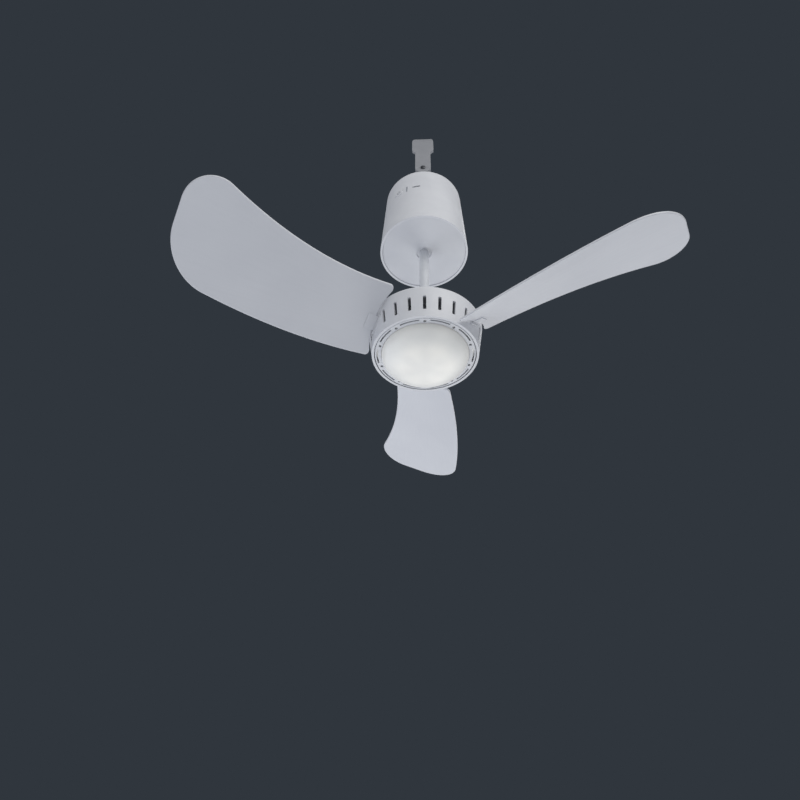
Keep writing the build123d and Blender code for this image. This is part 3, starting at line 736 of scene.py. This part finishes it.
def node_points(node: str) -> np.ndarray:
    """Points of a solid's mesh, in metres, one row each."""
    return np.array([vertex.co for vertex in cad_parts[node].data.vertices])


def wall_seat(node: str, setback_mm: float = 0.0) -> Seat:
    """A seat on the front of a solid in the housing's wall, facing level away from the axis.

    Args:
        node: the solid's name.
        setback_mm: how far the seat lies behind the solid's front.

    Returns:
        The seat, in the middle of the solid's height.
    """
    points = node_points(node)
    middle = (points.min(axis=0) + points.max(axis=0)) / 2
    out = middle[:2] / np.linalg.norm(middle[:2])
    front = (points[:, :2] @ out).max() - setback_mm * MM
    return Seat.facing((*(out * front), middle[2]), (*out, 0.0))


class Drive(Enum):
    """Recess that a fastener is driven by."""

    NONE = "none"
    CROSS = "cross"
    HEX = "hex"


# Formed end of a rivet: shares of its radius and of its height, from the strap to its tip.
RIVET_TAIL = np.array([(1.0, 0.0), (1.0, 0.4), (0.7, 0.85), (0.0, 1.0)])


@dataclass(frozen=True)
class Fastener:
    """Headed pin or screw: a domed head on a plain shank, sizes in millimetres.

    The recess's wall and a cross's half bar are shares of drive_size, and ring_spacing is the
    power that sets how the head's rings spread outwards.
    """

    head_radius: float
    head_height: float
    dome: float
    shank_radius: float
    shank_length: float
    tail_radius: float = 0.0
    tail_height: float = 0.0
    drive: Drive = Drive.NONE
    drive_size: float = 0.0
    drive_depth: float = 0.0
    drive_wall: float = 0.1
    cross_bar: float = 0.24
    cross_taper: float = 1.25
    ring_spacing: float = 0.8

    def recess(self, x: np.ndarray, y: np.ndarray) -> np.ndarray:
        """Share of the drive's depth at each point of the head, 1 in the recess and 0 outside.

        A cross is two bars whose ends narrow, and a hex is the largest of three distances
        across the flats. Both have a steep wall, a tenth of the size wide.

        Args:
            x: distance across.
            y: distance up.

        Returns:
            Shares of the depth.
        """
        size = self.drive_size
        if self.drive is Drive.NONE:
            return np.zeros_like(x)
        if self.drive is Drive.CROSS:
            long, short = np.maximum(abs(x), abs(y)), np.minimum(abs(x), abs(y))
            half_bar = self.cross_bar * size * (self.cross_taper - long / size)
            inside = np.minimum(size - long, half_bar - short)
        else:
            flats = np.radians([0, 60, 120])[:, None, None]
            inside = size - abs(x * np.cos(flats) + y * np.sin(flats)).max(axis=0)
        return np.clip(inside / (self.drive_wall * size) + 0.5, 0, 1)

    def shell(
        self, seat: Seat, columns: int = 72, rings: int = 26
    ) -> tuple[np.ndarray, np.ndarray]:
        """The fastener as rings about its axis: the head from its middle out, then the shank.

        The head is a parabola of height dome less the recess. Below its rim the profile steps
        in to the shank, and out again where the pin has a formed tail.

        Args:
            seat: where the head bears, with out along the head.
            columns: points on a ring.
            rings: rings over the head.

        Returns:
            Points and quads.
        """
        turn = ring_angles(columns)
        steps = np.linspace(0, 1, rings) ** self.ring_spacing
        share, angle = np.meshgrid(steps, turn, indexing="ij")
        x, y = (self.head_radius * share * wave for wave in (np.cos(angle), np.sin(angle)))
        height = self.head_height - self.dome * share**2 - self.drive_depth * self.recess(x, y)
        foot = -self.shank_length
        shank = [(self.head_radius, 0.0), (self.shank_radius, 0.0), (self.shank_radius, foot)]
        tail = RIVET_TAIL * (self.tail_radius, -self.tail_height) + (0.0, foot)
        lower = np.concatenate([shank, tail])
        x = np.concatenate([x, lower[:, :1] * np.cos(turn)])
        y = np.concatenate([y, lower[:, :1] * np.sin(turn)])
        height = np.concatenate([height, np.repeat(lower[:, 1:], columns, axis=1)])
        return seat.place(x, y, height), grid_faces(len(height), columns)


@dataclass(frozen=True)
class Slab:
    """Flat bar with rounded sides, carried straight along a line, sizes in millimetres."""

    width: float
    height: float
    length: float
    nose: float = 0.85
    chamfer: float = 0.12
    squareness: float = 0.35

    def shell(self, seat: Seat, columns: int = 24) -> tuple[np.ndarray, np.ndarray]:
        """A superellipse of the slab's width and height, carried inwards from the seat.

        The outline starts at a share, nose, of its size and is full a chamfer further in.

        Args:
            seat: the middle of the front end, with out towards the viewer.
            columns: points on a ring.

        Returns:
            Points and quads.
        """
        side, rise = np.cos(ring_angles(columns)), np.sin(ring_angles(columns))
        u = np.sign(side) * abs(side) ** self.squareness * self.width / 2
        v = np.sign(rise) * abs(rise) ** self.squareness * self.height / 2
        share = np.array([0, self.nose, 1, 1, 0])[:, None]
        full = self.chamfer * self.height
        depth = np.array([0, 0, full, self.length, self.length])[:, None]
        return seat.place(share * u, share * v, -depth), grid_faces(len(share), columns)


@dataclass(frozen=True)
class Stroke:
    """Raised line of a mark: a low rounded profile carried along a path, in millimetres."""

    width: float
    proud: float

    def shell(
        self, seat: Seat, x: np.ndarray, y: np.ndarray, columns: int = 12
    ) -> tuple[np.ndarray, np.ndarray]:
        """An ellipse of the stroke's width and height, set square to the path at each point.

        Args:
            seat: middle of the mark, with out along its face's normal.
            x: path across.
            y: path up.
            columns: points on a ring.

        Returns:
            Points and quads.
        """
        path = np.stack([x, y], axis=1)
        along = np.gradient(path, axis=0)
        along /= np.linalg.norm(along, axis=1, keepdims=True)
        square = np.stack([-along[:, 1], along[:, 0]], axis=1)
        ends = np.r_[0.0, np.ones(len(x)), 0.0][:, None]
        path = np.concatenate([path[:1], path, path[-1:]])
        square = np.concatenate([square[:1], square, square[-1:]])
        turn = ring_angles(columns)
        offset = ends * np.cos(turn) * self.width / 2
        u = path[:, :1] + square[:, :1] * offset
        v = path[:, 1:] + square[:, 1:] * offset
        return seat.place(u, v, ends * np.sin(turn) * self.proud), grid_faces(len(path), columns)


@dataclass
class Hanger:
    """Rivets that the loop swings on and the screws of its bracket, sizes in millimetres."""

    wardrobe: Wardrobe
    pin: Fastener = Fastener(3.8, 2.0, 1.0, 2.4, 8.2, tail_radius=3.8, tail_height=2.0)
    screw: Fastener = Fastener(
        3.8, 2.4, 1.0, 2.0, 9.0, drive=Drive.CROSS, drive_size=2.2, drive_depth=1.3
    )

    def build(self) -> None:
        """Riveted pins with domed heads, and pan-head screws with a cross recess."""
        low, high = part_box("pivot_pins")
        reach, level = high.y - self.pin.head_height * MM, (low.z + high.z) / 2
        seats = [Seat.facing((0, side * reach, level), (0, side, 0)) for side in (-1, 1)]
        rivets = make_piece("pivot_rivets", [self.pin.shell(seat) for seat in seats])
        self.wardrobe.fit(rivets, DARK_ZINC, "housing", "plated_steel", "pivot_pins")
        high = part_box("bracket_screws")[1]
        offset = high.y - self.screw.head_radius * MM
        top = high.z - self.screw.head_height * MM
        seats = [Seat.facing((0, side * offset, top), (0, 0, 1)) for side in (-1, 1)]
        screws = make_piece("bracket_pan_screws", [self.screw.shell(seat) for seat in seats])
        self.wardrobe.fit(screws, ZINC_PLATE, "housing", "plated_steel", "bracket_screws")


@dataclass
class Controls:
    """Charging inlet and power button in the side of the housing, sizes in millimetres."""

    wardrobe: Wardrobe
    tongue: Slab = Slab(6.6, 0.8, 5.6)
    tongue_setback: float = 1.4
    contact: Slab = Slab(0.5, 0.14, 3.6)
    contact_setback: float = 0.5
    contact_count: int = 6
    contact_pitch: float = 0.95
    mark: Stroke = Stroke(0.75, 0.18)
    mark_radius: float = 2.5
    mark_gap_deg: float = 38.0
    mark_bar: tuple[float, float] = (0.9, 3.5)
    ring_points: int = 49
    bar_points: int = 9

    def build(self) -> None:
        """A tongue with its contacts inside the inlet, and an on-and-off mark on the button."""
        self.build_inlet()
        self.build_mark()

    def build_inlet(self) -> None:
        """The tongue stands off the inlet's back wall, with a row of contacts on both faces."""
        seat = wall_seat("charging_socket", self.tongue_setback)
        tongue = make_piece("inlet_tongue", [self.tongue.shell(seat)])
        self.wardrobe.fit(tongue, BLACK_NYLON, "housing", "dark_plastic")
        numbers = np.arange(self.contact_count) - (self.contact_count - 1) / 2
        faces = np.array([-0.5, 0.5])[:, None] * self.tongue.height
        spots = seat.place(numbers * self.contact_pitch, faces, -self.contact_setback)
        rows = [self.contact.shell(Seat.facing(spot, seat.out)) for spot in spots]
        contacts = make_piece("inlet_contacts", rows)
        self.wardrobe.fit(contacts, GOLD_FLASH, "housing", "dark_plastic")

    def build_mark(self) -> None:
        """A broken ring with an upright bar in its gap, raised a little off the button's face."""
        seat = wall_seat("power_button")
        start, end = 90 + self.mark_gap_deg, 450 - self.mark_gap_deg
        sweep = np.radians(np.linspace(start, end, self.ring_points))
        x, y = self.mark_radius * np.cos(sweep), self.mark_radius * np.sin(sweep)
        rise = np.linspace(*self.mark_bar, self.bar_points)
        shells = [self.mark.shell(seat, x, y), self.mark.shell(seat, np.zeros_like(rise), rise)]
        mark = make_piece("button_mark", shells)
        self.wardrobe.fit(mark, MARK_INK, "power_button", "satin_white")


@dataclass
class Coupling:
    """Set screws of the downrod's coupler, sizes in millimetres."""

    wardrobe: Wardrobe
    radius: float = 2.0
    crown: float = 0.25
    end_height: float = 1.2
    socket: float = 1.0
    socket_depth: float = 1.0

    def build(self) -> None:
        """Two headless screws with a hex socket in their outer ends."""
        points = node_points("coupler_screws")
        middle = points[:, 2].mean()
        shells = []
        for group in (points[points[:, 2] > middle], points[points[:, 2] <= middle]):
            (inner, _, low), (outer, _, high) = group.min(axis=0), group.max(axis=0)
            shank = (outer - inner) / MM - self.end_height
            screw = Fastener(
                self.radius, self.end_height, self.crown, self.radius, shank,
                drive=Drive.HEX, drive_size=self.socket, drive_depth=self.socket_depth,
            )
            shoulder = outer - self.end_height * MM
            shells.append(screw.shell(Seat.facing((shoulder, 0, (low + high) / 2), (1, 0, 0))))
        screws = make_piece("coupler_set_screws", shells)
        self.wardrobe.fit(screws, ZINC_PLATE, "housing", "plated_steel", "coupler_screws")


@dataclass(frozen=True)
class Lamp:
    """Soft square lamp of the studio, in metres and watts."""

    name: str
    place: tuple[float, float, float]
    size: float
    power: float
    colour: str = "#FFFFFF"


@dataclass
class Studio:
    """Pale floor, soft lamps, plain backdrop and the camera, in metres."""

    aim: tuple[float, float, float] = (-0.0345, 0.08608, -0.47635)
    eye: tuple[float, float, float] = (0.0, -0.55067, -1.01563)
    roll_deg: float = 1.32
    lens_mm: float = 28.041
    floor_level: float = -2.9
    floor_radius: float = 14.0
    floor_paint: Finish = Finish(
        "floor_paint", "#D4D7DB", "#D3D6DA", 0.7, mottle_mm=300.0, grain_mm=4.0
    )
    backdrop: str = "#30363D"
    sky: str = "#F7F8FA"
    sky_strength: float = 0.72
    lamps: tuple[Lamp, ...] = (
        Lamp("key", (0.9, -1.4, 0.5), 1.4, 16.0, "#FFFDF8"),
        Lamp("under_right", (0.6, 1.1, -1.45), 1.5, 10.0, "#FFFDF8"),
        Lamp("under_left", (-1.2, 0.6, -1.3), 1.5, 10.0, "#F6F9FF"),
        Lamp("rim", (0.2, 1.5, 0.9), 1.5, 12.0),
    )

    def build(self) -> None:
        """Sets up everything round the fan."""
        self.lay_floor()
        self.paint_world()
        for lamp in self.lamps:
            self.hang(lamp)
        self.stand_camera()
        bpy.context.scene.view_settings.view_transform = "Standard"

    def lay_floor(self, columns: int = 96, rings: int = 13) -> None:
        """A flat disc of pale matt paint, as rings about the middle.

        Args:
            columns: points on a ring.
            rings: rings from the middle out.
        """
        turn = ring_angles(columns)
        radius = np.linspace(0, self.floor_radius, rings)[:, None]
        x, y = radius * np.cos(turn), radius * np.sin(turn)
        points = np.stack([x.ravel(), y.ravel(), np.full(x.size, self.floor_level)], axis=1)
        floor = make_piece("studio_floor", [(points, grid_faces(rings, columns))])
        floor.data.materials.append(self.floor_paint.make())

    def paint_world(self) -> None:
        """Even light from all round, while the camera and reflections see the backdrop."""
        world = bpy.data.worlds.new("studio_world")
        bpy.context.scene.world = world
        world.use_nodes = True
        tree = world.node_tree
        tree.nodes.clear()
        rays = add_node(tree, "ShaderNodeLightPath").node.outputs
        seen = rays["Is Camera Ray"]
        for ray in ("Is Glossy Ray", "Is Transmission Ray"):
            pair = {0: seen, 1: rays[ray]}
            seen = add_node(tree, "ShaderNodeMath", pair, operation="ADD", use_clamp=True)
        light = add_node(tree, "ShaderNodeBackground", {0: linear(self.sky), 1: self.sky_strength})
        wall = add_node(tree, "ShaderNodeBackground", {0: linear(self.backdrop), 1: 1.0})
        mixed = add_node(tree, "ShaderNodeMixShader", {0: seen, 1: light, 2: wall})
        add_node(tree, "ShaderNodeOutputWorld", {"Surface": mixed})

    def hang(self, lamp: Lamp) -> None:
        """Hangs one lamp and turns it to the point that the camera looks at.

        Args:
            lamp: the lamp to hang.
        """
        data = bpy.data.lights.new(lamp.name, "AREA")
        data.size = lamp.size
        data.energy = lamp.power
        data.color = linear(lamp.colour)[:3]
        light = bpy.data.objects.new(lamp.name, data)
        light.visible_camera = False
        light.location = lamp.place
        towards = Vector(self.aim) - Vector(lamp.place)
        light.rotation_euler = towards.to_track_quat("-Z", "Y").to_euler()
        bpy.context.scene.collection.objects.link(light)

    def stand_camera(self) -> None:
        """Stands the camera below and in front of the fan, looking up at it."""
        data = bpy.data.cameras.new("camera")
        data.lens = self.lens_mm
        camera = bpy.data.objects.new("camera", data)
        camera.location = self.eye
        look = (Vector(self.aim) - Vector(self.eye)).to_track_quat("-Z", "Y")
        roll = Quaternion((0, 0, 1), np.radians(self.roll_deg))
        camera.rotation_euler = (look @ roll).to_euler()
        bpy.context.scene.collection.objects.link(camera)
        bpy.context.scene.camera = camera


def main() -> None:
    """Dresses the solids, adds the worked pieces and sets up the studio."""
    logging.basicConfig(level=logging.INFO, format="%(name)s: %(message)s")
    wardrobe = Wardrobe()
    wardrobe.dress_solids()
    for assembly in (Hanger(wardrobe), Controls(wardrobe), Coupling(wardrobe), Studio()):
        assembly.build()


if __name__ == "__main__":
    main()
